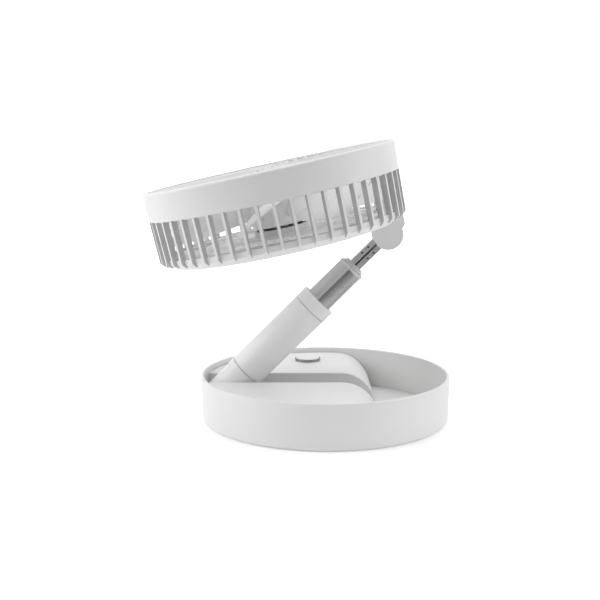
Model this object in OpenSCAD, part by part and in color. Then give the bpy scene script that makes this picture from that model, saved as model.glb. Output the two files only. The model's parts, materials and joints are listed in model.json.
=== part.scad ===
// Folding, telescoping, rechargeable desk fan.
// The origin is the centre of the underside. The mast hinge is on -X, +Z is up.
// Mast pieces are drawn along the mast's own axis, head pieces on the head's own axis.

/* [Base] */
// Outer radius of the base at its rim
base_r = 98; // [97:0.5:100]
// Height of the rim above the desk
base_h = 35.6; // [35:0.2:37]
// Thickness of the base wall at the rim
base_wall = 2.5; // [2:0.1:3]
// Height of the raised deck's top face
deck_top = 31.2; // [31:0.1:32]
// Radius of the deck's rounded right-hand end
deck_end_r = 28.2; // [27:0.1:29]
// Width of the trough that takes the folded mast
trough_w = 32; // [31:0.5:34]

/* [Button] */
// Button position from the base's centre, along X
button_x = -13.5; // [-20:0.5:-5]
// Button position from the base's centre, along Y
button_y = 64; // [60:0.5:66]
// Outer radius of the button's bright ring
button_ring_r = 10.8; // [10:0.1:11]
// Travel of the button
button_travel = 1.2; // [0.8:0.1:1.2]

/* [Mast] */
// Angle of the mast above the desk
mast_angle = 44.64; // [40:0.01:46]
// Base hinge position along X
hinge_x = -81.7; // [-82:0.1:-81]
// Base hinge height
hinge_z = 18; // [17.8:0.1:18.2]
// Distance between the two hinge pins
mast_len = 182.1; // [180:0.1:184]
// Radius of the thick white sleeve
sleeve_r = 14.5; // [14:0.1:14.5]
// Radius of the outer aluminium tube
tube_r = 10.8; // [10.5:0.1:10.8]
// Width of the flat rail at the top of the mast
rail_w = 10.1; // [9.5:0.1:10.2]

/* [Head] */
// Angle of the head above the desk
head_angle = 12.21; // [8:0.01:15]
// Outer radius of the head at its front edge
head_front_r = 98.6; // [98:0.1:99]
// Outer radius of the head at its rear edge
head_rear_r = 97.2; // [97:0.1:98]
// Thickness of the head
head_t = 60.5; // [60:0.1:62]
// Height of the smooth front band
band_h = 22; // [20:0.5:22]
// Number of louvre bars around the head
bars = 50; // [48:1:60]
// Width of one louvre bar
bar_w = 2.2; // [2:0.1:2.6]
// Distance of the head hinge from the head's axis
pivot_u = 79.6; // [79:0.1:80]
// Distance of the head hinge behind the rear plane
pivot_drop = 9.9; // [9.5:0.1:10]
// Radius of the head's hinge knuckle
knuckle_r = 11.7; // [11:0.1:12]

/* [Impeller] */
// Number of blades
blades = 7; // [5:1:9]
// Radius over the blade tips
blade_r = 90; // [86:0.5:90]
// Pitch of the blades
blade_pitch = 28; // [22:1:28]

/* [Hidden] */
$fn = 96;

run = 0.08;       // radial clearance of a running fit
gap = 0.4;        // free gap between pieces that move past each other
e = 0.01;         // overlap that makes cuts break through

// base
pad_t = 0.8;
plate_t = 1;
floor_z = 3;
tray_r = base_r - base_wall - 0.6;
deck_wall = 2;
deck_arc_x = 13;
lip_r = base_wall / 2;
ledge_r = tray_r - 0.8;
screw_spots = [[-64, 50], [-64, -50], [30, 30], [30, -30], [28, 66], [28, -66]];
board_t = 1.6;
board_z = 20;
cell_r = 9.2;
cell_len = 65;
cell_x = -45;
cell_z = 12.7;
cell_rows = [-29, -49, -69];
port_angle = 115;
port_z = 12;
port_w = 8.9;
port_h = 3.2;

// base hinge
foot_r = 13.3;
seam_d = 1.6;
lug_r = 8.5;
lug_w = 9;
foot_slot = 10.6;
hinge_pin_r = 2.5;

// mast stations, measured along the mast from the base hinge
foot_end = 27;
sleeve_start = 27.6;
sleeve_end = 97.6;
collar_start = 98;
collar_end = 108;
sleeve_bore = 11.4;
outer_start = 52;
outer_end = 142;
mid_start = 57;
mid_end = 144.4;
inner_start = 62;
inner_end = 146.1;
rail_start = 67;
tube_wall = 0.9;
glide_len = 8;
skirt_len = 8;
mid_r = 9.2;
inner_r = 7.7;
rail_t = 5.4;
groove_w = 1.6;
groove_d = 1.2;
rail_holes = [157.9, 164.2];
pivot_pin_r = 3;
slot_w = 7.2;
knuckle_w = 22;

// head, heights measured from the rear plane
hinge_top = [hinge_x + mast_len * cos(mast_angle), hinge_z + mast_len * sin(mast_angle)];
head_x = hinge_top[0] - pivot_u * cos(head_angle) - pivot_drop * sin(head_angle);
head_z = hinge_top[1] - pivot_u * sin(head_angle) + pivot_drop * cos(head_angle);
side_low = 5.1;
slot_low = 9;
slot_high = head_t - band_h;
bar_inner = 92.8;
recess_r = 80;
chamfer_r = 86;
edge_h = 4.8;
edge_slope = 1.7;
edge_in = 2.8;
bar_foot = 2.7;
bar_turn = 4.7;
grille_z = 5;
grille_t = 2.2;
flange_t = 1.8;
flange_r = 74.8;
step_u = 93.8;
knuckle_screw_u = 77;
motor_r = 21;
motor_z = 13;
hub_r = 21.5;
hub_z = 15;
hub_top = 44;
front_z = 56.6;
front_t = 3;
front_hub_r = 17;
front_ribs = 48;
front_skew = 38;
rear_ribs = 60;
shaft_r = 1.5;
bearing_r = 4;
bearing_t = 3.4;
poles = 9;

function side_r(h) = head_rear_r + (head_front_r - head_rear_r) * (h - side_low) / (head_t - side_low);
function arc(x, y, r, from, to, steps = 6) =
    [for (i = [0:steps]) let (a = from + (to - from) * i / steps) [x + r * cos(a), y + r * sin(a)]];

// --- frames and shared shapes ---

module on_mast() { translate([hinge_x, 0, hinge_z]) rotate([0, -mast_angle, 0]) children(); }
module on_head() { translate([head_x, 0, head_z]) rotate([0, -head_angle, 0]) children(); }
module rod(r, from, to) { translate([from, 0, 0]) rotate([0, 90, 0]) cylinder(r = r, h = to - from); }
module pipe(r, bore, from, to) {
    difference() { rod(r, from, to); rod(bore, from - 1, to + 1); }
}
module ring(r, bore, from, to) {
    translate([0, 0, from]) difference() {
        cylinder(r = r, h = to - from);
        translate([0, 0, -1]) cylinder(r = bore, h = to - from + 2);
    }
}
module cross_rod(r, w) { rotate([90, 0, 0]) cylinder(r = r, h = w, center = true); }
module across(w) { translate([0, w / 2, 0]) rotate([90, 0, 0]) linear_extrude(w) children(); }
module slab(x0, x1, w, z0, z1) { translate([x0, -w / 2, z0]) cube([x1 - x0, w, z1 - z0]); }
module spots(list) { for (p = list) translate([p[0], p[1], 0]) children(); }
module around(n, r) { for (i = [0:n - 1]) rotate([0, 0, i * 360 / n]) translate([r, 0, 0]) children(); }
module screw(head, shaft, from, neck, to) {
    translate([0, 0, from]) cylinder(r1 = head, r2 = shaft, h = neck - from);
    translate([0, 0, neck - e]) cylinder(r = shaft, h = to - neck + e);
}

// --- base ---

module port_slot(w, h, from, to) {
    rotate([0, 0, port_angle]) translate([from, 0, port_z]) rotate([90, 0, 90])
        linear_extrude(to - from) {
            square([w - h, h], center = true);
            for (side = [-1, 1]) translate([side * (w - h) / 2, 0]) circle(h / 2);
        }
}

module base_shell() {
    color("white") difference() {
        rotate_extrude() polygon(concat(
            arc(base_r - 2.8, pad_t + 2, 2, -90, 0),
            arc(base_r - lip_r, base_h - lip_r, lip_r, 0, 180, 8),
            [[tray_r + 0.3, floor_z], [tray_r + 0.3, pad_t + plate_t],
             [ledge_r, pad_t + plate_t], [ledge_r, pad_t]]));
        port_slot(port_w + 0.5, port_h + 0.5, tray_r - 4, base_r + 2);
        // relief in which the mast's foot turns
        translate([hinge_x, 0, hinge_z]) cross_rod(foot_r + gap, 2 * (sleeve_r + gap));
    }
}

// The deck's side outline: a flat top that rolls over into a quarter round at the right
module deck_side(inset) {
    translate([-base_r, 0]) square([base_r + deck_arc_x, deck_top - inset]);
    intersection() {
        translate([deck_arc_x, floor_z]) circle(deck_end_r - inset);
        translate([deck_arc_x - e, 0]) square([deck_end_r + 2, deck_end_r + 5]);
    }
}
module deck_block(inset) {
    intersection() {
        cylinder(r = tray_r - inset, h = deck_top + 1);
        for (side = [0, 1]) mirror([0, side, 0])
            translate([0, base_r, 0]) rotate([90, 0, 0])
                linear_extrude(base_r - trough_w / 2 - inset) deck_side(inset);
    }
}
module base_deck() {
    color("white") difference() {
        union() {
            translate([0, 0, pad_t + plate_t]) cylinder(r = tray_r, h = floor_z - pad_t - plate_t);
            difference() {
                deck_block(0);
                translate([0, 0, -1]) cylinder(r = base_r, h = pad_t + plate_t + 1);
            }
        }
        difference() {
            deck_block(deck_wall);
            translate([0, 0, pad_t + plate_t - 1]) spots(screw_spots) cylinder(r = 3.4, h = deck_top);
            // two posts that hold the control board under the deck
            translate([0, 0, board_z]) spots([[-42, 50], [6, 50]]) cylinder(r = 3, h = 20);
        }
        translate([0, 0, pad_t + plate_t - 1]) spots(screw_spots) cylinder(r = 1.3, h = 10);
        translate([button_x, button_y, deck_top - 5]) cylinder(r = button_ring_r + 0.1, h = 10);
        port_slot(port_w + 0.5, port_h + 0.5, tray_r - 8, base_r);
    }
}

module base_plate() {
    color("silver") difference() {
        translate([0, 0, pad_t]) cylinder(r = ledge_r - 0.2, h = plate_t);
        translate([0, 0, pad_t - e]) spots(screw_spots) cylinder(r1 = 2.7, r2 = 1.5, h = plate_t + 2 * e);
    }
}

module base_pad() { color("dimgray") cylinder(r = ledge_r - 6, h = pad_t); }

module base_screws() {
    color("silver") spots(screw_spots) screw(2.5, 1.25, pad_t + 0.05, pad_t + plate_t, 9);
}

module hinge_bracket() {
    color("silver") difference() {
        union() {
            slab(hinge_x - 11, hinge_x + 13, 27, floor_z, floor_z + 1.4);
            slab(hinge_x - lug_r, hinge_x + lug_r, lug_w, floor_z + 1, hinge_z);
            translate([hinge_x, 0, hinge_z]) cross_rod(lug_r, lug_w);
        }
        translate([hinge_x, 0, hinge_z]) cross_rod(hinge_pin_r, lug_w + 2);
        spots(bracket_spots()) translate([0, 0, floor_z - 1]) cylinder(r = 1.1, h = 4);
    }
}
function bracket_spots() = [for (x = [-7, 9], y = [-9, 9]) [hinge_x + x, y]];

module bracket_screws() {
    color("dimgray") spots(bracket_spots()) translate([0, 0, floor_z + 0.05]) cylinder(r = 1, h = 1.3);
}

module base_hinge_pin() {
    color("silver") translate([hinge_x, 0, hinge_z]) cross_rod(hinge_pin_r, 25);
}

module base_hinge_washers() {
    color("gray") translate([hinge_x, 0, hinge_z]) for (side = [-1, 1])
        translate([0, side * (lug_w / 2 + 0.35), 0]) difference() {
            cross_rod(7, 0.5);
            cross_rod(hinge_pin_r + run, 2);
        }
}

module battery_tray() {
    color("black") difference() {
        translate([cell_x - 2.5, -79, pad_t + plate_t]) cube([cell_len + 5, 60, 10]);
        translate([cell_x - 0.6, -80, cell_z - cell_r - 0.1]) cube([cell_len + 1.2, 62, 20]);
    }
}

module battery_cells() {
    color("steelblue") for (y = cell_rows) translate([0, y, cell_z])
        rod(cell_r, cell_x, cell_x + cell_len);
}

module battery_contacts() {
    color("silver") for (x = [cell_x - 0.5, cell_x + cell_len + 0.1])
        translate([x, -74, cell_z - 5]) cube([0.4, 50, 10]);
}

module control_board() {
    color("green") translate([-46, 46, board_z - board_t]) cube([56, 32, board_t]);
}

module button_switch() {
    color("dimgray") translate([button_x, button_y, board_z]) {
        translate([-3, -3, 0]) cube([6, 6, 3.5]);
        cylinder(r = 1.7, h = 4);
    }
}

module button_ring() {
    color("gray") translate([button_x, button_y, 0]) {
        ring(button_ring_r, button_ring_r - 0.5, deck_top - 4, deck_top + 2.1);
        ring(button_ring_r + 2, button_ring_r - 0.5, deck_top - 4, deck_top - deck_wall);
    }
}

module button_cap() {
    color("white") translate([button_x, button_y, 0]) {
        translate([0, 0, deck_top + 0.4]) cylinder(r = button_ring_r - 0.8, h = 2.2);
        ring(button_ring_r - 0.8, button_ring_r - 2.2, deck_top - 3, deck_top + 0.5);
        translate([0, 0, board_z + 4 + button_travel + 0.3]) cylinder(r = 2, h = deck_top - board_z - 4.6);
    }
}

module charge_port() {
    color("silver") difference() {
        port_slot(port_w, port_h, tray_r - 5, base_r - 1.2);
        port_slot(port_w - 0.6, port_h - 0.6, tray_r - 4.4, base_r);
    }
    color("black") rotate([0, 0, port_angle]) translate([tray_r - 4.6, -3.2, port_z - 0.35])
        cube([5.4, 6.4, 0.7]);
}

module port_board() {
    color("green") rotate([0, 0, port_angle])
        translate([tray_r - 17.5, -8, port_z - port_h / 2 - 1]) cube([14, 16, 1]);
}

// --- mast ---

// The foot's side outline: round at the pin, then widening to the sleeve
module foot_side() {
    circle(foot_r);
    polygon([[0, -foot_r], [19, -foot_r], [25, -sleeve_r - 1], [foot_end, -sleeve_r - 1],
             [foot_end, sleeve_r + 1], [25, sleeve_r + 1], [19, foot_r], [0, foot_r]]);
}
// Room in the foot for the bracket's lug, from folded to upright
module lug_room_side() {
    circle(lug_r + gap);
    translate([-20, -20]) square([20 + lug_r + gap, 20]);
    translate([-20, -e]) square([20, lug_r + gap + e]);
}
module mast_foot() {
    color("white") on_mast() difference() {
        union() {
            intersection() {
                rod(sleeve_r, -foot_r - 1, foot_end + 1);
                across(2 * sleeve_r + 4) foot_side();
            }
            rod(sleeve_r - seam_d, foot_end - 1, sleeve_start);
            rod(sleeve_bore - run, foot_end - 1, sleeve_start + 2.8);
        }
        across(foot_slot) lug_room_side();
        cross_rod(hinge_pin_r + run, 25.4);
    }
}

module mast_sleeve() {
    color("white") on_mast() pipe(sleeve_r, sleeve_bore, sleeve_start, sleeve_end);
}

module sleeve_collar() {
    color("white") on_mast() difference() {
        union() {
            rod(sleeve_r + 0.2, collar_start, collar_end);
            rod(sleeve_r - seam_d, sleeve_end, collar_start + e);
            rod(sleeve_bore - run, sleeve_end - 6, collar_start);
        }
        rod(tube_r + run, sleeve_end - 8, collar_end + 1);
    }
}

// One drawn tube, the glide ring at its foot and the cap at its mouth
module tube(r, from, to) { pipe(r, r - tube_wall, from, to); }
module glide(r, outer_bore, from) { pipe(outer_bore - run, r, from, from + glide_len); }
module tube_cap(r, bore, to, lip, collar) {
    difference() {
        union() {
            rod(r + lip, to, to + collar);
            rod(r - tube_wall, to - skirt_len, to + e);
        }
        rod(bore, to - skirt_len - 1, to + collar + 1);
    }
}

module outer_tube() { color("silver") on_mast() tube(tube_r, outer_start, outer_end); }
module outer_glide() { color("dimgray") on_mast() glide(tube_r, sleeve_bore, outer_start); }
module outer_cap() { color("gray") on_mast() tube_cap(tube_r, mid_r + run, outer_end, 0.2, 2.2); }
module mid_tube() { color("silver") on_mast() tube(mid_r, mid_start, mid_end); }
module mid_glide() { color("dimgray") on_mast() glide(mid_r, tube_r - tube_wall, mid_start); }
module mid_cap() { color("gray") on_mast() tube_cap(mid_r, inner_r + run, mid_end, 0.2, 1.5); }
module inner_tube() { color("silver") on_mast() tube(inner_r, inner_start, inner_end); }
module inner_glide() { color("dimgray") on_mast() glide(inner_r, mid_r - tube_wall, inner_start); }
module inner_cap() {
    color("gray") on_mast() difference() {
        union() {
            rod(inner_r + 0.2, inner_end, inner_end + 1.3);
            rod(inner_r - tube_wall, inner_end - skirt_len, inner_end + e);
        }
        slab(inner_end - skirt_len - 1, inner_end + 3, rail_t + 0.2, -rail_w / 2 - 0.1, rail_w / 2 + 0.1);
    }
}

module rail() {
    color("silver") on_mast() difference() {
        union() {
            slab(rail_start, mast_len, rail_t, -rail_w / 2, rail_w / 2);
            translate([mast_len, 0, 0]) cross_rod(rail_w / 2, rail_t);
        }
        for (side = [0, 1]) mirror([0, side, 0]) {
            translate([rail_start - 1, rail_t / 2 - groove_d, -groove_w / 2])
                cube([mast_len - rail_start - 8, groove_d + 1, groove_w]);
            for (s = rail_holes, v = [-3.1, 3.1])
                translate([s, rail_t / 2, v]) cross_rod(0.6, 2);
        }
        translate([mast_len, 0, 0]) cross_rod(pivot_pin_r + run, rail_t + 2);
    }
}

module rail_glide() {
    color("dimgray") on_mast() difference() {
        rod(inner_r - tube_wall - run, rail_start, rail_start + glide_len);
        slab(rail_start - 1, rail_start + glide_len + 1, rail_t, -rail_w / 2, rail_w / 2);
    }
}

module head_hinge_pin() {
    color("silver") on_mast() translate([mast_len, 0, 0]) cross_rod(pivot_pin_r, knuckle_w - 4);
}

module head_hinge_washers() {
    color("gray") on_mast() for (side = [-1, 1]) translate([mast_len, side * (rail_t / 2 + 0.45), 0])
        difference() { cross_rod(5.6, 0.6); cross_rod(pivot_pin_r, 2); }
}

// --- head ---

// The hinge knuckle's side outline: round at the pin, with a step under the head's rear edge
module knuckle_side() {
    translate([pivot_u, -pivot_drop]) circle(knuckle_r);
    translate([pivot_u - knuckle_r, -pivot_drop]) square([2 * knuckle_r, pivot_drop + grille_z]);
    polygon([[pivot_u, -7.2], [pivot_u + knuckle_r, -7.2], [step_u, -4.5],
             [step_u, bar_foot], [pivot_u, bar_foot]]);
}
module knuckle_spots() {
    for (v = [-7.5, 7.5]) translate([knuckle_screw_u, v, 0]) children();
}
module head_knuckle() {
    color("white") on_head() difference() {
        across(knuckle_w) knuckle_side();
        rear_edge();
        // slot for the rail, open below and at both sides
        slab(pivot_u - 20, pivot_u + 20, slot_w, -40, -pivot_drop + rail_w / 2 + 0.8);
        translate([pivot_u, 0, -pivot_drop]) {
            cross_rod(rail_w / 2 + 1, slot_w);
            cross_rod(pivot_pin_r + run, knuckle_w - 3.6);
        }
        knuckle_spots() translate([0, 0, grille_z - 5]) cylinder(r = 0.9, h = 6);
    }
}
module knuckle_screws() {
    color("dimgray") on_head() knuckle_spots() {
        translate([0, 0, grille_z - 5]) cylinder(r = 0.85, h = grille_t + flange_t + 5);
        translate([0, 0, grille_z + grille_t + flange_t]) cylinder(r = 1.7, h = 1.2);
    }
}

// Everything that lies above the outside of the head's rear edge
module rear_edge() {
    rotate_extrude() polygon([
        [recess_r, 0], [chamfer_r, 0], [chamfer_r + bar_foot * edge_slope, bar_foot],
        [head_front_r, bar_foot], [head_front_r, 30], [recess_r, 30]]);
}
// Solid of revolution that closes the head's rear edge
module rear_ring() {
    rotate_extrude() polygon([
        [recess_r, 0], [chamfer_r, 0], [chamfer_r + edge_h * edge_slope, edge_h],
        [side_r(slot_low) - edge_in, slot_low], [bar_inner - 0.8, slot_low],
        [bar_inner - 0.8, side_low + 1.6], [chamfer_r + 0.6, 2], [recess_r + 2, 2],
        [recess_r + 2, grille_z + grille_t + flange_t], [flange_r, grille_z + grille_t + flange_t],
        [flange_r, grille_z + grille_t], [recess_r, grille_z + grille_t]]);
}

module rear_shell() {
    color("white") on_head() difference() {
        union() {
            rear_ring();
            ring(side_r(slot_high) - 2.2, bar_inner - 0.5, slot_high - 0.6, slot_high + 4);
            // louvre bars: they stand proud over the rear edge and end in a chamfer
            intersection() {
                rotate_extrude() polygon([
                    [bar_inner, 4.6], [bar_inner, slot_high], [side_r(slot_high), slot_high],
                    [side_r(6), 6], [step_u, bar_foot + 0.1], [step_u - 1, bar_foot + 0.1]]);
                rotate([0, 0, bar_turn]) around(bars, bar_inner - 4)
                    translate([0, -bar_w / 2, 0]) cube([20, bar_w, slot_high]);
            }
        }
        around(6, 77.3) translate([0, 0, grille_z]) cylinder(r = 0.9, h = 6);
        knuckle_spots() cylinder(r = 0.9, h = 12);
    }
}

module rear_grille() {
    color("white") on_head() difference() {
        translate([0, 0, grille_z]) linear_extrude(grille_t) {
            for (r = [[recess_r - 0.1, flange_r - 0.8], [60, 58.4], [42, 40.4], [28, motor_r + 0.2]])
                difference() { circle(r[0]); circle(r[1]); }
            for (i = [0:rear_ribs - 1]) rotate(i * 360 / rear_ribs)
                translate([27.5, -0.6]) square([flange_r - 27.7, 1.2]);
        }
        around(6, 77.3) translate([0, 0, grille_z - e]) cylinder(r1 = 2, r2 = 1, h = grille_t + 2 * e);
        around(3, 25) translate([0, 0, grille_z - e]) cylinder(r1 = 2, r2 = 1, h = grille_t + 2 * e);
        knuckle_spots() cylinder(r = 0.9, h = 12);
    }
}

module grille_screws() {
    color("dimgray") on_head() around(6, 77.3)
        screw(1.9, 0.85, grille_z + 0.1, grille_z + grille_t, grille_z + grille_t + flange_t);
}

module front_ring() {
    color("white") on_head() rotate_extrude() polygon(concat(
        [[side_r(slot_high) - 2.1, slot_high], [side_r(slot_high), slot_high]],
        arc(head_front_r - 2, head_t - 2, 2, 0, 90),
        arc(head_front_r - 2.1, head_t - 0.6, 0.6, 90, 180, 3),
        [[head_front_r - 2.7, front_z], [bar_inner, front_z], [bar_inner, front_z - 2],
         [side_r(slot_high) - 2.1, front_z - 2]]));
}

function rib_reach(r, skew) = sqrt(r * r - pow(front_hub_r * sin(skew), 2)) - front_hub_r * cos(skew);

module front_grille() {
    color("white") on_head() translate([0, 0, front_z]) difference() {
        linear_extrude(front_t) {
            difference() { circle(head_front_r - 2.8); circle(bar_inner - 1); }
            circle(front_hub_r + 1);
            difference() { circle(57); circle(55.8); }
            for (i = [0:front_ribs - 1]) rotate(i * 360 / front_ribs) translate([front_hub_r, 0])
                rotate(front_skew) translate([-0.5, -0.65]) square([rib_reach(bar_inner, front_skew), 1.3]);
        }
        around(12, 12.5) translate([0, 0, -1]) cylinder(r = 1, h = front_t + 2);
    }
}

module motor_base() {
    color("white") on_head() difference() {
        union() {
            translate([0, 0, grille_z]) cylinder(r = motor_r, h = motor_z - grille_z);
            ring(27, motor_r - 1, grille_z + grille_t, grille_z + grille_t + 1.4);
        }
        translate([0, 0, grille_z + 1.8]) difference() {
            cylinder(r = motor_r - 1.8, h = 20);
            translate([0, 0, -1]) cylinder(r = 5.4, h = 30);
        }
        around(3, 25) cylinder(r = 0.9, h = 12);
        translate([0, 0, grille_z + 3]) cylinder(r = bearing_r, h = 20);
    }
    color("white") on_head() ring(5.4, bearing_r, motor_z - e, 27.6);
}

module motor_screws() {
    color("dimgray") on_head() around(3, 25)
        screw(1.9, 0.85, grille_z + 0.1, grille_z + grille_t, grille_z + grille_t + 1.4);
}

module motor_board() { color("green") on_head() ring(18.5, 6.5, grille_z + 1.8, grille_z + 3.2); }

module motor_bearings() {
    color("silver") on_head() for (h = [grille_z + 3.2, 27.4 - bearing_t])
        ring(bearing_r, shaft_r + 0.05, h, h + bearing_t);
}

module motor_stator() {
    color("gray") on_head() translate([0, 0, 17]) linear_extrude(9) {
        difference() { circle(8); circle(5.4); }
        for (i = [0:poles - 1]) rotate(i * 360 / poles) {
            translate([7, -1]) square([6.6, 2]);
            intersection() {
                difference() { circle(14.7); circle(13.3); }
                translate([10, -3.8]) square([6, 7.6]);
            }
        }
    }
}

module motor_windings() {
    color("orangered") on_head() around(poles, 8.9) difference() {
        translate([0, -2.2, 15.6]) cube([3.9, 4.4, 11.8]);
        translate([-1, -1.05, 16.95]) cube([6, 2.1, 9.1]);
    }
}

module motor_shaft() { color("silver") on_head() translate([0, 0, 8.6]) cylinder(r = shaft_r, h = 39); }

module rotor_bell() {
    color("silver") on_head() {
        ring(18, 17.1, 16, 29.6);
        ring(17.5, shaft_r, 28.6, 29.6);
        ring(4, shaft_r, 29.5, 35);
    }
}

module magnet_ring() { color("dimgray") on_head() ring(17.1, 15.3, 16, 27.5); }

module impeller() {
    color("white") on_head() {
        ring(hub_r, 18, hub_z, hub_top);
        ring(hub_r - 1, shaft_r, hub_top - 2, hub_top);
        ring(4.5, shaft_r, 35.5, hub_top - 1);
        intersection() {
            ring(blade_r, hub_r - 1, hub_z, hub_top);
            around(blades, 0) translate([0, 0, (hub_z + hub_top) / 2]) rotate([blade_pitch, 0, 0])
                translate([0, 0, -0.8]) linear_extrude(1.6)
                    polygon([[19, -8], [60, -24], [93, -24], [93, 25], [60, 20], [19, 8]]);
        }
    }
}

module impeller_nut() {
    color("silver") on_head() difference() {
        translate([0, 0, hub_top]) cylinder(r = 4.6, h = 2.6, $fn = 6);
        translate([0, 0, hub_top - 1]) cylinder(r = shaft_r, h = 5);
    }
}

base_shell();
base_deck();
base_plate();
base_pad();
base_screws();
hinge_bracket();
bracket_screws();
base_hinge_pin();
base_hinge_washers();
battery_tray();
battery_cells();
battery_contacts();
control_board();
button_switch();
button_ring();
button_cap();
charge_port();
port_board();
mast_foot();
mast_sleeve();
sleeve_collar();
outer_tube();
outer_glide();
outer_cap();
mid_tube();
mid_glide();
mid_cap();
inner_tube();
inner_glide();
inner_cap();
rail();
rail_glide();
head_hinge_pin();
head_hinge_washers();
head_knuckle();
knuckle_screws();
rear_shell();
rear_grille();
grille_screws();
front_ring();
front_grille();
motor_base();
motor_screws();
motor_board();
motor_bearings();
motor_stator();
motor_windings();
motor_shaft();
rotor_bell();
magnet_ring();
impeller();
impeller_nut();
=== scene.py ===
import json
import math

import bmesh
import bpy
from mathutils import Matrix, Vector


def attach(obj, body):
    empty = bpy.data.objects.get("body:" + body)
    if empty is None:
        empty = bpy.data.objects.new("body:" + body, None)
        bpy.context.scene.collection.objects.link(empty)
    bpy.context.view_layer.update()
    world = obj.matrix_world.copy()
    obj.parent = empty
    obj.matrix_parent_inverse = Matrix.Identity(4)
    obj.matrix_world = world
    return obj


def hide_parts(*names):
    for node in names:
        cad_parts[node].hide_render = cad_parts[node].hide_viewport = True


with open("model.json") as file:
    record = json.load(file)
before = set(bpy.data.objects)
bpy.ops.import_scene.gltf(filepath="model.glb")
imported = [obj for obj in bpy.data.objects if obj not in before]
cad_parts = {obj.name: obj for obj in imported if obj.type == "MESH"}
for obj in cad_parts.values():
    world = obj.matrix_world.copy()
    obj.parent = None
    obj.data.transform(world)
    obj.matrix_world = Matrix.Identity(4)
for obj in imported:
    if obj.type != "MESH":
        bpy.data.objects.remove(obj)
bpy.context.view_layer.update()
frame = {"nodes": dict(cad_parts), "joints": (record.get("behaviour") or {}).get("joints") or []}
scene = bpy.context.scene
joints = {j["name"]: j for j in frame["joints"]}

# --- frames: millimetres in, metres out ---------------------------------------------------------


def axes(origin, x_axis):
    """A frame with its X along x_axis, its Y along +Y, in millimetres."""
    x = Vector(x_axis).normalized()
    y = Vector((0, 1, 0))
    z = x.cross(y)
    turn = Matrix((x, y, z)).transposed().to_4x4()
    return Matrix.Translation(Vector(origin)) @ turn @ Matrix.Scale(0.001, 4)


HINGE = Vector(joints["mast_tilt"]["pos_m"])
PIVOT = Vector(joints["head_tilt"]["pos_m"])
FACING = Vector(joints["impeller_spin"]["axis"])
BASE = Matrix.Scale(0.001, 4)
MAST = axes(HINGE, PIVOT - HINGE)
ALONG = MAST @ Matrix.Rotation(math.pi / 2, 4, "Y")
HEAD = axes(joints["impeller_spin"]["pos_m"], Vector((0, 1, 0)).cross(FACING))

# sizes repeated from the CAD source, in millimetres
BASE_R, BASE_H, WALL, TRAY_R = 98, 35.6, 2.5, 94.9
FOOT_Z, UNDER_Z, LIP_R = 0.8, 1.8, 94.1
DECK_TOP, DECK_END_R, DECK_ARC_X, TROUGH, FLOOR_Z = 31.2, 28.2, 13, 16, 3
BUTTON = (-13.5, 64)
FOOT_R, SLEEVE_R, TUBE_R, MID_R, INNER_R = 13.3, 14.5, 10.8, 9.2, 7.7
SLEEVE_END, COLLAR_END = 97.6, 108
MAST_LEN, RAIL_W = 182.1, 10.1
HEAD_R, HEAD_T, SLOT_LOW, SLOT_HIGH, SIDE_LOW = 98.6, 60.5, 9, 38.5, 5.1
BAR_IN, RECESS_R, CHAMFER_R = 92.8, 80, 86
PIVOT_U, PIVOT_DROP, KNUCKLE_R = 79.6, 9.9, 11.7
HUB_R, HUB_Z, HUB_TOP, BLADE_R = 21.5, 15, 44, 90
FRONT_Z, FRONT_TOP = 56.6, 59.4
ROUND = 288
BARS, BAR_TURN = 50, 4.7
RIBS, HUB_SHADE_DOTS = 48, 8
BLADES, BLADE_TURN = 7, -4
SEAM = 1.6
# faces that meet at more than this stay sharp
CAD_EDGE, PIECE_EDGE = math.radians(28), math.radians(38)
PORT_ANGLE, PORT_Z, PORT_W, PORT_H = 115, 12, 9.4, 3.7


def side_r(h):
    """The head's outer radius at a height h above its back: it widens a little to the front."""
    return HEAD_R - 1.4 * (HEAD_T - h) / (HEAD_T - SIDE_LOW)


# --- materials ------------------------------------------------------------------------------------


def shader(name, color, rough, metallic=0.0):
    """A new material, its node tree and its shader."""
    mat = bpy.data.materials.new(name)
    mat.use_nodes = True
    bsdf = mat.node_tree.nodes["Principled BSDF"]
    bsdf.inputs["Base Color"].default_value = (*color, 1)
    bsdf.inputs["Roughness"].default_value = rough
    bsdf.inputs["Metallic"].default_value = metallic
    return mat, mat.node_tree, bsdf


def noise(tree, scale, detail=3.0, stretch=None):
    """Noise over the piece's own coordinates. stretch is a turn and a length along each axis."""
    place = tree.nodes.new("ShaderNodeTexCoord")
    tex = tree.nodes.new("ShaderNodeTexNoise")
    tex.inputs["Scale"].default_value = scale
    tex.inputs["Detail"].default_value = detail
    source = place.outputs["Object"]
    if stretch:
        turned = tree.nodes.new("ShaderNodeMapping")
        turned.vector_type = "TEXTURE"
        turned.inputs["Rotation"].default_value = stretch[0]
        turned.inputs["Scale"].default_value = stretch[1]
        tree.links.new(source, turned.inputs["Vector"])
        source = turned.outputs["Vector"]
    tree.links.new(source, tex.inputs["Vector"])
    return tex.outputs["Fac"]


def spread(tree, fac, socket, low, high):
    """Feeds a socket with the noise, mapped to low..high, which are numbers or colours."""
    ramp = tree.nodes.new("ShaderNodeValToRGB")
    ramp.color_ramp.elements[0].position = 0.3
    ramp.color_ramp.elements[1].position = 0.7
    for element, value in zip(ramp.color_ramp.elements, (low, high)):
        shade = value if isinstance(value, tuple) else (value, value, value)
        element.color = (*shade, 1)
    tree.links.new(fac, ramp.inputs["Fac"])
    tree.links.new(ramp.outputs["Color"], socket)


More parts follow.
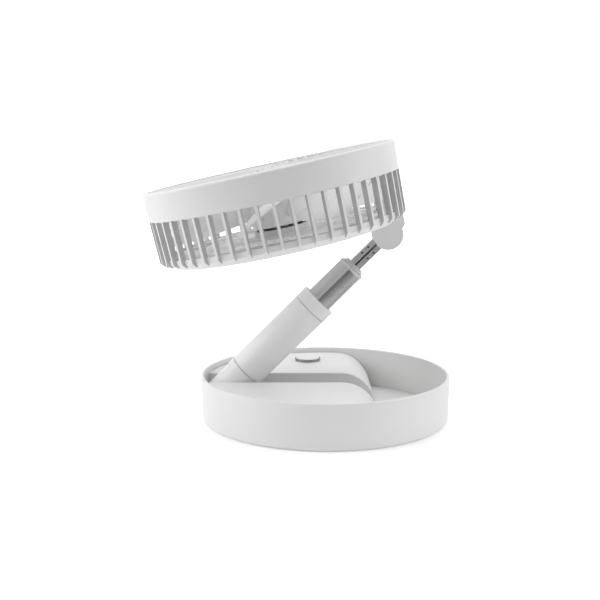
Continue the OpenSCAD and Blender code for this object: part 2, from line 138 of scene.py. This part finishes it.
def fade(tree, value, span, reach, smooth=True):
    """A node that maps value from span to reach."""
    node = tree.nodes.new("ShaderNodeMapRange")
    if smooth:
        node.interpolation_type = "SMOOTHSTEP"
    node.inputs["From Min"].default_value = span[0]
    node.inputs["From Max"].default_value = span[1]
    node.inputs["To Min"].default_value = reach[0]
    node.inputs["To Max"].default_value = reach[1]
    tree.links.new(value, node.inputs["Value"])
    return node.outputs["Result"]


def bump(tree, bsdf, fac, height):
    """Raises the surface by the noise, up to a height in metres."""
    node = tree.nodes.new("ShaderNodeBump")
    node.inputs["Distance"].default_value = height
    node.inputs["Strength"].default_value = 0.5
    tree.links.new(fac, node.inputs["Height"])
    tree.links.new(node.outputs["Normal"], bsdf.inputs["Normal"])


def plastic(name, color, rough, grain=0.000015):
    """Moulded plastic: a spark-eroded grain, faint cloudiness and uneven gloss."""
    mat, tree, bsdf = shader(name, color, rough)
    shift = 0.012
    dark = tuple(c * (1 - shift) for c in color)
    light = tuple(min(1.0, c * (1 + shift)) for c in color)
    spread(tree, noise(tree, 24, 4), bsdf.inputs["Base Color"], dark, light)
    spread(tree, noise(tree, 60, 5), bsdf.inputs["Roughness"], rough - 0.04, rough + 0.05)
    bump(tree, bsdf, noise(tree, 2600, 2), grain)
    return mat


def metal(name, color, rough, turn=(0, 0, 0), lines=(1, 1, 1)):
    """Metal with a directional grain: lines gives the grain's length along each turned axis."""
    mat, tree, bsdf = shader(name, color, rough, 1.0)
    scale, grain = 900, 0.000006
    grain_fac = noise(tree, scale, 3, (turn, lines))
    dark = tuple(c * 0.93 for c in color)
    spread(tree, grain_fac, bsdf.inputs["Base Color"], dark, color)
    drawn = noise(tree, scale / 6, 3, (turn, lines))
    spread(tree, drawn, bsdf.inputs["Roughness"], rough - 0.04, rough + 0.05)
    bump(tree, bsdf, grain_fac, grain)
    return mat


mast_turn = (0, -math.atan2((PIVOT - HINGE).z, (PIVOT - HINGE).x), 0)
MATS = {
    "white": plastic("satin_white_abs", (0.8, 0.8, 0.797), 0.42),
    "knuckle": plastic("satin_white_hinge", (0.77, 0.77, 0.77), 0.36),
    "button": plastic("satin_white_key", (0.78, 0.78, 0.78), 0.4),
    # a whiter white than the shell's: painted light for the dim inside of the head
    "blade": plastic("smooth_white_blade_painted_light", (0.85, 0.85, 0.85), 0.3, 0.000004),
    "motor": plastic("white_motor_cover", (0.78, 0.78, 0.78), 0.4),
    "tube": metal("drawn_aluminium", (0.62, 0.62, 0.62), 0.3, mast_turn, (60, 1, 1)),
    "rail": metal("satin_rail", (0.9, 0.9, 0.9), 0.42, mast_turn, (60, 1, 1)),
    # the louvre bars' side faces: a darker grey that paints the shade between the bars
    "bar_side_painted_shade": plastic("louvre_sides_painted_shade", (0.56, 0.56, 0.56), 0.5),
    # a brighter white than the base's: painted light that the head above keeps off the sleeve and foot
    "mast": plastic("satin_white_mast_painted_light", (0.88, 0.88, 0.877), 0.4),
    # near-black for the walls of cut holes and grooves and the hub's dots: painted shade
    "painted_hole_shade": plastic("painted_shade_in_holes", (0.03, 0.03, 0.03), 0.6),
    "grille": plastic("thin_white_ribs", (0.7, 0.7, 0.698), 0.42),
    "cap": plastic("grey_cap", (0.66, 0.66, 0.66), 0.4),
    "chrome": metal("dark_chrome", (0.3, 0.3, 0.31), 0.16, (0, 0, 0), (1, 1, 12)),
    "steel": metal("zinc_plate", (0.62, 0.63, 0.64), 0.34),
    "bracket": metal("plated_bracket", (0.42, 0.43, 0.45), 0.4),
    "pin": metal("ground_pin", (0.6, 0.6, 0.61), 0.2),
    "screw": metal("blackened_screw", (0.08, 0.08, 0.085), 0.38),
    "silicone": plastic("grey_silicone", (0.1, 0.1, 0.105), 0.75, 0.00004),
    "nylon": plastic("natural_nylon", (0.55, 0.54, 0.5), 0.45),
    "black": plastic("black_abs", (0.02, 0.02, 0.021), 0.45),
    "wrap": plastic("cell_wrap", (0.05, 0.16, 0.36), 0.25, 0.000005),
    "nickel": metal("nickel_strip", (0.65, 0.62, 0.56), 0.25),
    "board": plastic("board_green", (0.01, 0.11, 0.04), 0.35),
    "lamination": metal("stacked_laminations", (0.3, 0.3, 0.3), 0.5, (0, 0, 0), (30, 30, 1)),
    "copper": metal("enamelled_copper", (0.75, 0.32, 0.13), 0.3, (0, 0, 0), (20, 20, 1)),
    "ferrite": plastic("sintered_ferrite", (0.04, 0.04, 0.042), 0.6),
}
CAD_LOOKS = {
    "base_plate": "steel", "base_pad": "silicone", "base_screws": "steel",
    "hinge_bracket": "bracket", "bracket_screws": "screw", "base_hinge_pin": "pin",
    "base_hinge_washers": "nylon", "battery_tray": "black", "battery_cells": "wrap",
    "battery_contacts": "nickel", "control_board": "board", "button_switch": "black",
    "charge_port": "steel", "port_board": "board", "outer_glide": "nylon", "mid_glide": "nylon",
    "inner_glide": "nylon", "rail_glide": "nylon", "head_hinge_pin": "pin",
    "head_hinge_washers": "nylon", "knuckle_screws": "screw", "grille_screws": "screw",
    "motor_base": "motor", "motor_screws": "screw", "motor_board": "board",
    "motor_bearings": "pin", "motor_stator": "lamination", "motor_windings": "copper",
    "motor_shaft": "pin", "rotor_bell": "steel", "magnet_ring": "ferrite", "impeller_nut": "pin",
    "base_shell": "white", "base_deck": "white", "button_ring": "chrome", "button_cap": "button",
    "mast_foot": "mast", "mast_sleeve": "mast", "sleeve_collar": "mast",
    "outer_tube": "tube", "mid_tube": "tube", "inner_tube": "tube",
    "outer_cap": "cap", "mid_cap": "cap", "inner_cap": "cap", "rail": "rail",
    "head_knuckle": "knuckle", "rear_shell": "white", "rear_grille": "white",
    "front_ring": "white", "front_grille": "grille", "impeller": "blade",
}
for node, look in CAD_LOOKS.items():
    part = frame["nodes"][node]
    part.data.materials.clear()
    part.data.materials.append(MATS[look])
    part.data.shade_smooth()
    part.data.set_sharp_from_angle(angle=CAD_EDGE)

# --- mesh helpers ---------------------------------------------------------------------------------


def rounded(corners, steps=5):
    """A closed outline from (x, y, radius) corners, each radius made as an arc."""
    out = []
    for i, (x, y, radius) in enumerate(corners):
        p = Vector((x, y))
        if not radius:
            out.append((p.x, p.y))
            continue
        a = (Vector(corners[i - 1][:2]) - p).normalized()
        b = (Vector(corners[(i + 1) % len(corners)][:2]) - p).normalized()
        half = math.acos(max(-1, min(1, a.dot(b)))) / 2
        centre = p + (a + b).normalized() * radius / math.sin(half)
        start = p + a * radius / math.tan(half) - centre
        end = p + b * radius / math.tan(half) - centre
        sweep = math.atan2(start.x * end.y - start.y * end.x, start.dot(end))
        for k in range(steps + 1):
            t = sweep * k / steps
            out.append((centre.x + start.x * math.cos(t) - start.y * math.sin(t),
                        centre.y + start.x * math.sin(t) + start.y * math.cos(t)))
    return out


def piece(name, bm, matrix, look, body, node, weighted=True):
    """Turns a bmesh in millimetres into a piece that rides on a body and stands for a CAD node."""
    bm.normal_update()
    bmesh.ops.recalc_face_normals(bm, faces=bm.faces)
    bm.transform(matrix)
    data = bpy.data.meshes.new(name)
    bm.to_mesh(data)
    bm.free()
    obj = bpy.data.objects.new(name, data)
    scene.collection.objects.link(obj)
    data.materials.append(MATS[look])
    data.shade_smooth()
    data.set_sharp_from_angle(angle=PIECE_EDGE)
    if weighted:
        even = obj.modifiers.new("even_normals", "WEIGHTED_NORMAL")
        even.keep_sharp = True
        even.weight = 80
    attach(obj, body)
    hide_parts(node)
    return obj


def spin(bm, outline, count=192):
    """Adds the closed outline, turned round Z."""
    rows = []
    for k in range(count):
        a = 2 * math.pi * k / count
        rows.append([bm.verts.new((r * math.cos(a), r * math.sin(a), h)) for r, h in outline])
    for k in range(count):
        here, there = rows[k], rows[(k + 1) % count]
        for i in range(len(outline)):
            j = (i + 1) % len(outline)
            bm.faces.new((here[i], there[i], there[j], here[j]))
    return bm


def lathe(outline, count):
    """A new bmesh of the closed outline, turned round Z."""
    return spin(bmesh.new(), outline, count)


def tube_ring(r, bore, low, high, edge, count=128):
    """A tube from low to high whose four edges are rounded by edge."""
    corners = [(bore, low, edge), (r, low, edge), (r, high, edge), (bore, high, edge)]
    return lathe(rounded(corners, 3), count)


def prism(bm, outline, low, high, plane=None):
    """Adds an outline extruded along Z, then placed by plane."""
    plane = plane or Matrix.Identity(4)
    rings = [[bm.verts.new(plane @ Vector((x, y, z))) for x, y in outline] for z in (low, high)]
    count = len(outline)
    bm.faces.new(rings[0])
    bm.faces.new(rings[1])
    for i in range(count):
        j = (i + 1) % count
        bm.faces.new((rings[0][i], rings[0][j], rings[1][j], rings[1][i]))
    return bm


def soften(bm, width, segments=2, angle=30):
    """Bevels the edges that are sharper than angle."""
    bm.normal_update()
    bmesh.ops.recalc_face_normals(bm, faces=bm.faces)
    limit = math.radians(angle)
    sharp = [e for e in bm.edges if len(e.link_faces) == 2 and e.calc_face_angle(0) > limit]
    bmesh.ops.bevel(bm, geom=sharp, offset=width, segments=segments, profile=0.5,
                    affect="EDGES", clamp_overlap=True)
    return bm


def repeated(make, count):
    """One bmesh with count copies of what make() gives, turned round Z."""
    source = bpy.data.meshes.new("source")
    one = make()
    one.to_mesh(source)
    one.free()
    bm = bmesh.new()
    for k in range(count):
        source.transform(Matrix.Rotation(2 * math.pi / count, 4, "Z"))
        bm.from_mesh(source)
    bpy.data.meshes.remove(source)
    return bm


def carve(obj, *cutters, look=None):
    """Cuts closed bmeshes, given as (bmesh, matrix), out of a piece's mesh. look colours the cut faces,
    which paints shade into holes and grooves.
    """
    for bm, matrix in cutters:
        bmesh.ops.recalc_face_normals(bm, faces=bm.faces)
        bm.transform(matrix)
        data = bpy.data.meshes.new("cutter")
        bm.to_mesh(data)
        bm.free()
        knife = bpy.data.objects.new("cutter", data)
        scene.collection.objects.link(knife)
        step = obj.modifiers.new("cut", "BOOLEAN")
        step.operation = "DIFFERENCE"
        step.solver = "EXACT"
        if look:
            data.materials.append(MATS[look])
            step.material_mode = "TRANSFER"
        step.object = knife
        obj.modifiers.move(len(obj.modifiers) - 1, 0)
        cut = obj.evaluated_get(bpy.context.evaluated_depsgraph_get())
        made = bpy.data.meshes.new_from_object(cut)
        obj.modifiers.remove(step)
        obj.data = made
        bpy.data.objects.remove(knife)


def block(x0, x1, y0, y1, z0, z1):
    """A closed box."""
    return prism(bmesh.new(), [(x0, y0), (x1, y0), (x1, y1), (x0, y1)], z0, z1)


def ring(inner, outer, z0, z1):
    """The section of a flat ring between two heights, to turn round Z."""
    return [(inner, z0), (outer, z0), (outer, z1), (inner, z1)]


def circle(r, count):
    """An outline of count points round the origin."""
    turns = [2 * math.pi * k / count for k in range(count)]
    return [(r * math.cos(a), r * math.sin(a)) for a in turns]


def disc(r, low, high, count=96):
    """A closed round bar from low to high."""
    return prism(bmesh.new(), circle(r, count), low, high)


def slot_outline(w, h):
    """A rounded slot, w wide and h high, round the origin."""
    round_end = h / 2 - 0.01
    return rounded([(x * w / 2, y * h / 2, round_end) for x, y in ((-1, -1), (1, -1), (1, 1), (-1, 1))], 6)


EDGE_ON = Matrix.Rotation(math.pi / 2, 4, "X")
# the radius at which a turned outline closes on its axis
AXIS = 0.01

# --- base -----------------------------------------------------------------------------------------

rim = WALL / 2 - 0.02
wall_outline = rounded([
    (LIP_R, FOOT_Z, 0.3), (BASE_R - 0.8, FOOT_Z, 2), (BASE_R, BASE_H, rim), (BASE_R - WALL, BASE_H, rim),
    (TRAY_R + 0.3, FLOOR_Z, 0), (TRAY_R + 0.3, UNDER_Z, 0), (LIP_R, UNDER_Z, 0)], 8)
shell = piece("base_wall", lathe(wall_outline, ROUND), BASE, "white", "base", "base_shell")

port_turn = BASE @ Matrix.Rotation(math.radians(PORT_ANGLE), 4, "Z")
at_port = port_turn @ Matrix.Translation((BASE_R - 8, 0, PORT_Z))
along_port = Matrix(((0, 0, 1, 0), (1, 0, 0, 0), (0, 1, 0, 0), (0, 0, 0, 1)))
relief_half = SLEEVE_R + 0.4
carve(shell, (prism(bmesh.new(), slot_outline(PORT_W, PORT_H), 0, 12), at_port @ along_port),
      (disc(FOOT_R + 0.4, -relief_half, relief_half), Matrix.Translation(HINGE) @ BASE @ EDGE_ON))


def deck_outline(inset):
    """The deck's top edge seen from the front: flat, then a quarter round down to the floor."""
    steps = [-TRAY_R + 94.0 * k / 24 for k in range(24)] + [-0.9, 4, 9]
    flat = [(x, DECK_TOP - inset) for x in steps]
    r = DECK_END_R - inset
    turns = [math.pi / 2 * k / 28 for k in range(29)]
    return flat + [(DECK_ARC_X + r * math.sin(a), FLOOR_Z + r * math.cos(a)) for a in turns]


def deck():
    """The tray's floor and the raised deck on each side of the mast's trough."""
    fillet, middle, weld = 0.9, 0.001, 0.0005
    bm = spin(bmesh.new(), ring(middle, TRAY_R, FLOOR_Z, UNDER_Z))
    for side in (-1, 1):
        rows = []
        for k in range(7):
            t = math.pi / 2 * k / 6
            edge = deck_outline(fillet * (1 - math.sin(t)))
            y = TROUGH + fillet * (1 - math.cos(t))
            rows.append([(x, y, z) for x, z in edge])
        edge = deck_outline(0)
        for share in (0.1, 0.3, 0.5, 0.7, 0.9, 1):
            row = []
            for x, z in edge:
                out = math.sqrt(max(0, TRAY_R**2 - x * x))
                y = TROUGH + fillet + max(0, out - TROUGH - fillet) * share
                row.append((x, max(y, TROUGH + fillet), z))
            rows.append(row)
        rows.insert(0, [(x, TROUGH, FLOOR_Z) for x, y, z in rows[0]])
        rows.append([(x, y, FLOOR_Z) for x, y, z in rows[-1]])
        made = [[bm.verts.new((x, side * y, z)) for x, y, z in row] for row in rows]
        for here, there in zip(made, made[1:]):
            for i in range(len(here) - 1):
                bm.faces.new((here[i], here[i + 1], there[i + 1], there[i]))
    bmesh.ops.remove_doubles(bm, verts=bm.verts, dist=weld)
    bmesh.ops.dissolve_degenerate(bm, edges=bm.edges, dist=weld)
    return bm


piece("base_deck_top", deck(), BASE, "white", "base", "base_deck")

at_button = BASE @ Matrix.Translation((*BUTTON, 0))
bezel_outline = rounded([
    (10.3, 27.2, 0), (12.8, 27.2, 0.2), (12.8, 29.2, 0), (10.8, 29.2, 0), (10.8, 33.3, 0.2),
    (10.3, 33.3, 0.1)], 3)
piece("button_bezel", lathe(bezel_outline, 128), at_button, "chrome", "base",
      "button_ring")
key_outline = rounded([
    (AXIS, 31.6, 0), (7.8, 31.6, 0), (7.8, 28.2, 0.2), (10, 28.2, 0.2), (10, 33.8, 0.5),
    (AXIS, 33.65, 0)], 4)
piece("button_top", lathe(key_outline, 128), at_button, "button", "button",
      "button_cap")

# --- mast -----------------------------------------------------------------------------------------

# the mast's white is brighter than the base's: painted light
piece("sleeve", tube_ring(SLEEVE_R, SLEEVE_R - 3.1, 27.6, SLEEVE_END, 0.35, 160), ALONG, "mast",
      "mast", "mast_sleeve")
collar_bore, collar_plug = TUBE_R + 0.08, SLEEVE_R - 3.18
collar_outline = rounded([
    (collar_bore, SLEEVE_END - 6, 0), (collar_plug, SLEEVE_END - 6, 0), (collar_plug, SLEEVE_END, 0),
    (SLEEVE_R - SEAM, SLEEVE_END, 0), (SLEEVE_R - SEAM, SLEEVE_END + 0.4, 0),
    (SLEEVE_R + 0.2, SLEEVE_END + 0.4, 0.3), (SLEEVE_R + 0.2, COLLAR_END, 0.7),
    (collar_bore, COLLAR_END, 0.3)], 4)
piece("collar", lathe(collar_outline, 160), ALONG, "mast", "mast", "sleeve_collar")

for stage, r, low, high in (("outer", TUBE_R, 52, 142), ("mid", MID_R, 57, 144.4),
                            ("inner", INNER_R, 62, 146.1)):
    piece("tube_" + stage, tube_ring(r, r - 0.9, low, high, 0.12), ALONG, "tube", stage + "_stage",
          stage + "_tube")
for stage, r, inside, low, high in (("outer", TUBE_R, MID_R, 142, 144.2),
                                    ("mid", MID_R, INNER_R, 144.4, 145.9)):
    bore, plug, brim = inside + 0.08, r - 0.9, r + 0.2
    cap_outline = rounded([
        (bore, low - 8, 0), (plug, low - 8, 0), (plug, low, 0), (brim, low, 0.15),
        (brim, high, 0.4), (bore, high, 0.2)], 3)
    piece("cap_" + stage, lathe(cap_outline, 128), ALONG, "cap", stage + "_stage",
          stage + "_cap")


def rail_face(side):
    """Half the rail's cross-section: two flats, canted a little, that meet at the groove."""
    return [(side * y, z) for y, z in (
        (0, RAIL_W / 2), (2.45, RAIL_W / 2), (2.65, RAIL_W / 2 - 0.25), (2.45, 0.8), (2.1, -0.8),
        (2.7, -RAIL_W / 2 + 0.3), (2.45, -RAIL_W / 2), (0, -RAIL_W / 2))]


section = rail_face(-1) + rail_face(1)[::-1][1:-1]
bar_rail = piece("rail_bar", prism(bmesh.new(), [(-z, y) for y, z in section], 67, MAST_LEN), ALONG,
                 "rail", "rail_stage", "rail", weighted=False)
for side in (-1, 1):
    # the rail's groove and pin holes get near-black walls: painted shade
    near, far = sorted((side * 1.5, side * 3))
    carve(bar_rail, (block(-0.8, 0.8, near, far, 66, MAST_LEN - 9), ALONG), look="painted_hole_shade")
    for along in (157.9, 164.2):
        for up in (-3.1, 3.1):
            place = MAST @ Matrix.Translation((along, side * 2.4, up)) @ EDGE_ON
            carve(bar_rail, (disc(0.75, -1, 1, 20), place), look="painted_hole_shade")

# --- head -----------------------------------------------------------------------------------------

band_inner = side_r(SLOT_HIGH) - 2.1
band_outline = rounded([
    (band_inner, SLOT_HIGH, 0.2), (side_r(SLOT_HIGH), SLOT_HIGH, 0.35), (HEAD_R, HEAD_T, 2.2),
    (HEAD_R - 2.7, HEAD_T, 0.6), (HEAD_R - 2.7, FRONT_Z, 0), (BAR_IN, FRONT_Z, 0),
    (BAR_IN, FRONT_Z - 2, 0), (band_inner, FRONT_Z - 2, 0)], 6)
piece("front_band", lathe(band_outline, ROUND), HEAD, "white", "head", "front_ring")


def front_rib():
    """One swirled rib of the front grille, from beside its centre out to the rim."""
    bm = bmesh.new()
    steps, inner, reach, sweep, power = 18, 5.5, 89, 0.6, 0.8
    low, shoulder = FRONT_Z + 0.6, FRONT_TOP - 0.3
    section = ((-1, low), (-1, shoulder), (-0.5, FRONT_TOP), (0.5, FRONT_TOP), (1, shoulder), (1, low))
    rows = []
    for i in range(steps + 1):
        t = i / steps
        r = inner + reach * t
        a = sweep * t**power
        middle = Vector((math.cos(a), math.sin(a), 0)) * r
        slope = sweep * power * max(t, 0.02)**(power - 1)
        lead = math.atan(r * slope / reach) + a
        across = Vector((-math.sin(lead), math.cos(lead), 0)) * (0.35 + 0.45 * t)
        rows.append([bm.verts.new(middle + across * side + Vector((0, 0, z))) for side, z in section])
    for here, there in zip(rows, rows[1:]):
        for i in range(6):
            j = (i + 1) % 6
            bm.faces.new((here[i], here[j], there[j], there[i]))
    bm.faces.new(rows[0])
    bm.faces.new(rows[-1])
    return bm


rim_in, rim_out = 91.8, HEAD_R - 2.8
boss_r, boss_top = 6.4, FRONT_TOP + 0.1
front = repeated(front_rib, RIBS)
spin(front, rounded([(rim_in, FRONT_Z, 0), (rim_out, FRONT_Z, 0), (rim_out, FRONT_TOP, 0.3),
                     (rim_in, FRONT_TOP, 0.3)], 3), ROUND)
spin(front, ring(55.8, 57, 57, 58.4))
spin(front, ring(AXIS, 17.5, 57, 58.2), 96)
spin(front, rounded([(AXIS, 57.1, 0), (boss_r, 57.1, 0), (boss_r, boss_top, 0.4),
                     (AXIS, boss_top, 0)], 3), 96)
# near-black plugs on the hub boss stand for holes: painted shade
first_shade_dot = len(front.faces)
for k in range(HUB_SHADE_DOTS):
    turn = Matrix.Rotation(2 * math.pi * k / HUB_SHADE_DOTS, 4, "Z")
    prism(front, circle(0.85, 12), -0.5, 0.06, turn @ Matrix.Translation((4.2, 0, boss_top - 0.04)))
front.faces.ensure_lookup_table()
for face in front.faces[first_shade_dot:]:
    face.material_index = 1
front_face = piece("front_swirl", front, HEAD, "grille", "head", "front_grille",
                   weighted=False)
# second material: near-black, painted shade for the hub's holes
front_face.data.materials.append(MATS["painted_hole_shade"])


def bar():
    """One louvre bar. Its two wide faces take the second material, a darker grey that paints the shade
    between the bars.
    """
    outline = rounded([
        (BAR_IN, 4.6, 0.2), (BAR_IN, 2.8, 0), (BAR_IN + 1, 2.8, 0.2), (side_r(6), 6, 0.5),
        (side_r(SLOT_HIGH), SLOT_HIGH, 0), (BAR_IN, SLOT_HIGH, 0)], 3)
    one = soften(prism(bmesh.new(), outline, -1.1, 1.1, EDGE_ON), 0.28, 2, 40)
    # the side faces get the darker grey: painted shade
    for face in one.faces:
        face.material_index = 1 if abs(face.normal.y) > 0.9 else 0
    return one


louvre = repeated(bar, BARS)
louvre.transform(Matrix.Rotation(math.radians(BAR_TURN), 4, "Z"))
low_ring = rounded([
    (RECESS_R, 0, 0.3), (CHAMFER_R, 0, 0.5), (CHAMFER_R + 8.16, 4.8, 0.4),
    (side_r(SLOT_LOW) - 2.8, SLOT_LOW, 0.4), (92, SLOT_LOW, 0), (92, 6.7, 0),
    (CHAMFER_R + 0.6, 2, 0), (RECESS_R + 2, 2, 0), (RECESS_R + 2, 9, 0), (74.8, 9, 0),
    (74.8, 7.2, 0), (RECESS_R, 7.2, 0)], 3)
spin(louvre, low_ring, 216)
top_ring_r = side_r(SLOT_HIGH) - 2.2
spin(louvre, [(top_ring_r, 37.9), (top_ring_r, 42.5), (92.3, 42.5), (92.3, 37.9)], 216)
louvres = piece("louvre_shell", louvre, HEAD, "white", "head", "rear_shell")
# second material: the darker grey of painted shade on the bars' sides
louvres.data.materials.append(MATS["bar_side_painted_shade"])

knuckle_end = -PIVOT_DROP - KNUCKLE_R
knuckle_outline = rounded([
    (RECESS_R, 5, 0), (PIVOT_U - KNUCKLE_R, 5, 0), (PIVOT_U - KNUCKLE_R, knuckle_end, KNUCKLE_R - 0.01),
    (PIVOT_U + KNUCKLE_R, knuckle_end, KNUCKLE_R - 0.01), (PIVOT_U + KNUCKLE_R, -7.2, 1), (93.8, -4.5, 1),
    (93.8, 2.7, 0), (90.6, 2.7, 0), (CHAMFER_R, 0, 0), (RECESS_R, 0, 0)], 12)
knuckle = piece("knuckle_block", soften(prism(bmesh.new(), knuckle_outline, -11, 11, EDGE_ON), 1.1, 4),
                HEAD, "knuckle", "head", "head_knuckle")
at_pivot = HEAD @ Matrix.Translation((PIVOT_U, 0, -PIVOT_DROP)) @ EDGE_ON
slot_half = 3.6
carve(knuckle, (block(PIVOT_U - 20, PIVOT_U + 20, -slot_half, slot_half, -40, -4.05), HEAD),
      (disc(RAIL_W / 2 + 1, -slot_half, slot_half, 64), at_pivot),
      (disc(3.08, -9.2, 9.2, 48), at_pivot))


def blade():
    """One swept blade: twisted more at the root, with a rounded leading edge."""
    bm = bmesh.new()
    across, out = 14, 16
    root_r, tip_r, middle_z = 19.5, BLADE_R - 0.6, 29.5
    verts = {}
    for i in range(out + 1):
        u = i / out
        r = root_r + (tip_r - root_r) * u
        half = math.radians(21 - 5.5 * u) * min(1, 0.72 + 0.9 * u)
        lean = math.radians(14) * u * u
        rise = 7 + 5.4 * math.sin(math.pi * min(1, u * 1.05) * 0.62)
        for j in range(across + 1):
            c = 2 * j / across - 1
            corner = 1 - 0.1 * max(0, u - 0.8) * 5 * c * c
            a = lean + half * c * corner
            z = middle_z + rise * c + 1.6 * (1 - c * c)
            thick = 0.9 * math.sqrt(max(0.06, 1 - c * c)) * (1.1 - 0.4 * u)
            for side in (-1, 1):
                verts[i, j, side] = bm.verts.new((r * math.cos(a), r * math.sin(a), z + side * thick))
    for i in range(out):
        for j in range(across):
            for side in (-1, 1):
                corners = ((i, j), (i + 1, j), (i + 1, j + 1), (i, j + 1))
                bm.faces.new([verts[row, column, side] for row, column in corners[::side]])
    for i in range(out):
        for j in (0, across):
            bm.faces.new((verts[i, j, -1], verts[i + 1, j, -1], verts[i + 1, j, 1], verts[i, j, 1]))
    for j in range(across):
        for i in (0, out):
            bm.faces.new((verts[i, j, -1], verts[i, j + 1, -1], verts[i, j + 1, 1], verts[i, j, 1]))
    return bm


fan = repeated(blade, BLADES)
fan.transform(Matrix.Rotation(math.radians(BLADE_TURN), 4, "Z"))
hub_in, bore = HUB_R - 3.5, 1.5
spin(fan, rounded([
    (hub_in, HUB_Z, 0.2), (HUB_R, HUB_Z, 0.4), (HUB_R, HUB_TOP, 3), (bore, HUB_TOP, 0),
    (bore, HUB_TOP - 2, 0), (hub_in, HUB_TOP - 2, 0)], 6), 128)
piece("fan_rotor", fan, HEAD, "blade", "impeller", "impeller")

# --- floor, light and camera ----------------------------------------------------------------------


def card(name, size, mat):
    """A flat square on the ground, for staging only."""
    bm = bmesh.new()
    bmesh.ops.create_grid(bm, x_segments=1, y_segments=1, size=size)
    data = bpy.data.meshes.new(name)
    bm.to_mesh(data)
    bm.free()
    obj = bpy.data.objects.new(name, data)
    scene.collection.objects.link(obj)
    data.materials.append(mat)
    return obj


floor_mat, floor_tree, floor_bsdf = shader("pale_floor", (0.86, 0.86, 0.86), 0.7)
floor_bsdf.inputs["Emission Color"].default_value = (1, 1, 1, 1)
floor_place = floor_tree.nodes.new("ShaderNodeTexCoord")
floor_parts = floor_tree.nodes.new("ShaderNodeSeparateXYZ")
floor_tree.links.new(floor_place.outputs["Object"], floor_parts.inputs["Vector"])
depth = floor_parts.outputs["Y"]
glow = fade(floor_tree, depth, (-0.6, 1.8), (0.0, 1.0), False)
floor_tree.links.new(glow, floor_bsdf.inputs["Emission Strength"])
shade = fade(floor_tree, depth, (-0.75, -0.36), (0.08, 0.86), False)
floor_tree.links.new(shade, floor_bsdf.inputs["Base Color"])
floor = card("floor", 12, floor_mat)
floor.visible_glossy = False


def lamp(name, place, target, size, power):
    """A rectangular area light at place, facing target."""
    data = bpy.data.lights.new(name, "AREA")
    data.shape = "RECTANGLE"
    data.size, data.size_y = size
    data.energy = power
    obj = bpy.data.objects.new(name, data)
    scene.collection.objects.link(obj)
    obj.location = place
    obj.rotation_euler = (Vector(target) - Vector(place)).to_track_quat("-Z", "Y").to_euler()


lamp("left_softbox", (-1.34, -0.24, 0.72), (0, 0, 0.1), (0.9, 1.2), 10.5)
lamp("right_softbox", (1.32, -0.35, 0.7), (0, 0, 0.1), (0.7, 1.1), 3.6)
lamp("top_softbox", (0, 0.2, 1.45), (0, 0, 0.1), (1.8, 1.6), 7)
lamp("front_strip", (-0.42, -1.12, 0.56), (0, 0, 0.12), (0.26, 0.8), 0.9)

world = bpy.data.worlds.new("studio")
scene.world = world
world.use_nodes = True
sky = world.node_tree
back = sky.nodes["Background"]
way = sky.nodes.new("ShaderNodeTexCoord")
parts = sky.nodes.new("ShaderNodeSeparateXYZ")
sky.links.new(way.outputs["Generated"], parts.inputs["Vector"])
light = fade(sky, parts.outputs["Y"], (-0.2, 0.9), (0.03, 1.02))
for axis, span, brightest in (("Z", (0.5, 1.0), 1.0), ("X", (0.3, 0.75), 0.75),
                              ("Z", (-0.02, -0.16), 0.36)):
    lighter = sky.nodes.new("ShaderNodeMath")
    lighter.operation = "MAXIMUM"
    sky.links.new(light, lighter.inputs[0])
    sky.links.new(fade(sky, parts.outputs[axis], span, (0.03, brightest)), lighter.inputs[1])
    light = lighter.outputs["Value"]
sky.links.new(light, back.inputs["Color"])

scene.view_settings.view_transform = "Standard"
scene.view_settings.look = "None"

lens = bpy.data.cameras.new("camera")
lens.sensor_width = 36
lens.lens = 61.9
lens.clip_start = 0.01
camera = bpy.data.objects.new("camera", lens)
scene.collection.objects.link(camera)
camera.location = (-0.01996, -0.8, 0.22387)
camera.rotation_euler = (math.radians(80.75), 0, 0)
scene.camera = camera

bpy.context.view_layer.update()
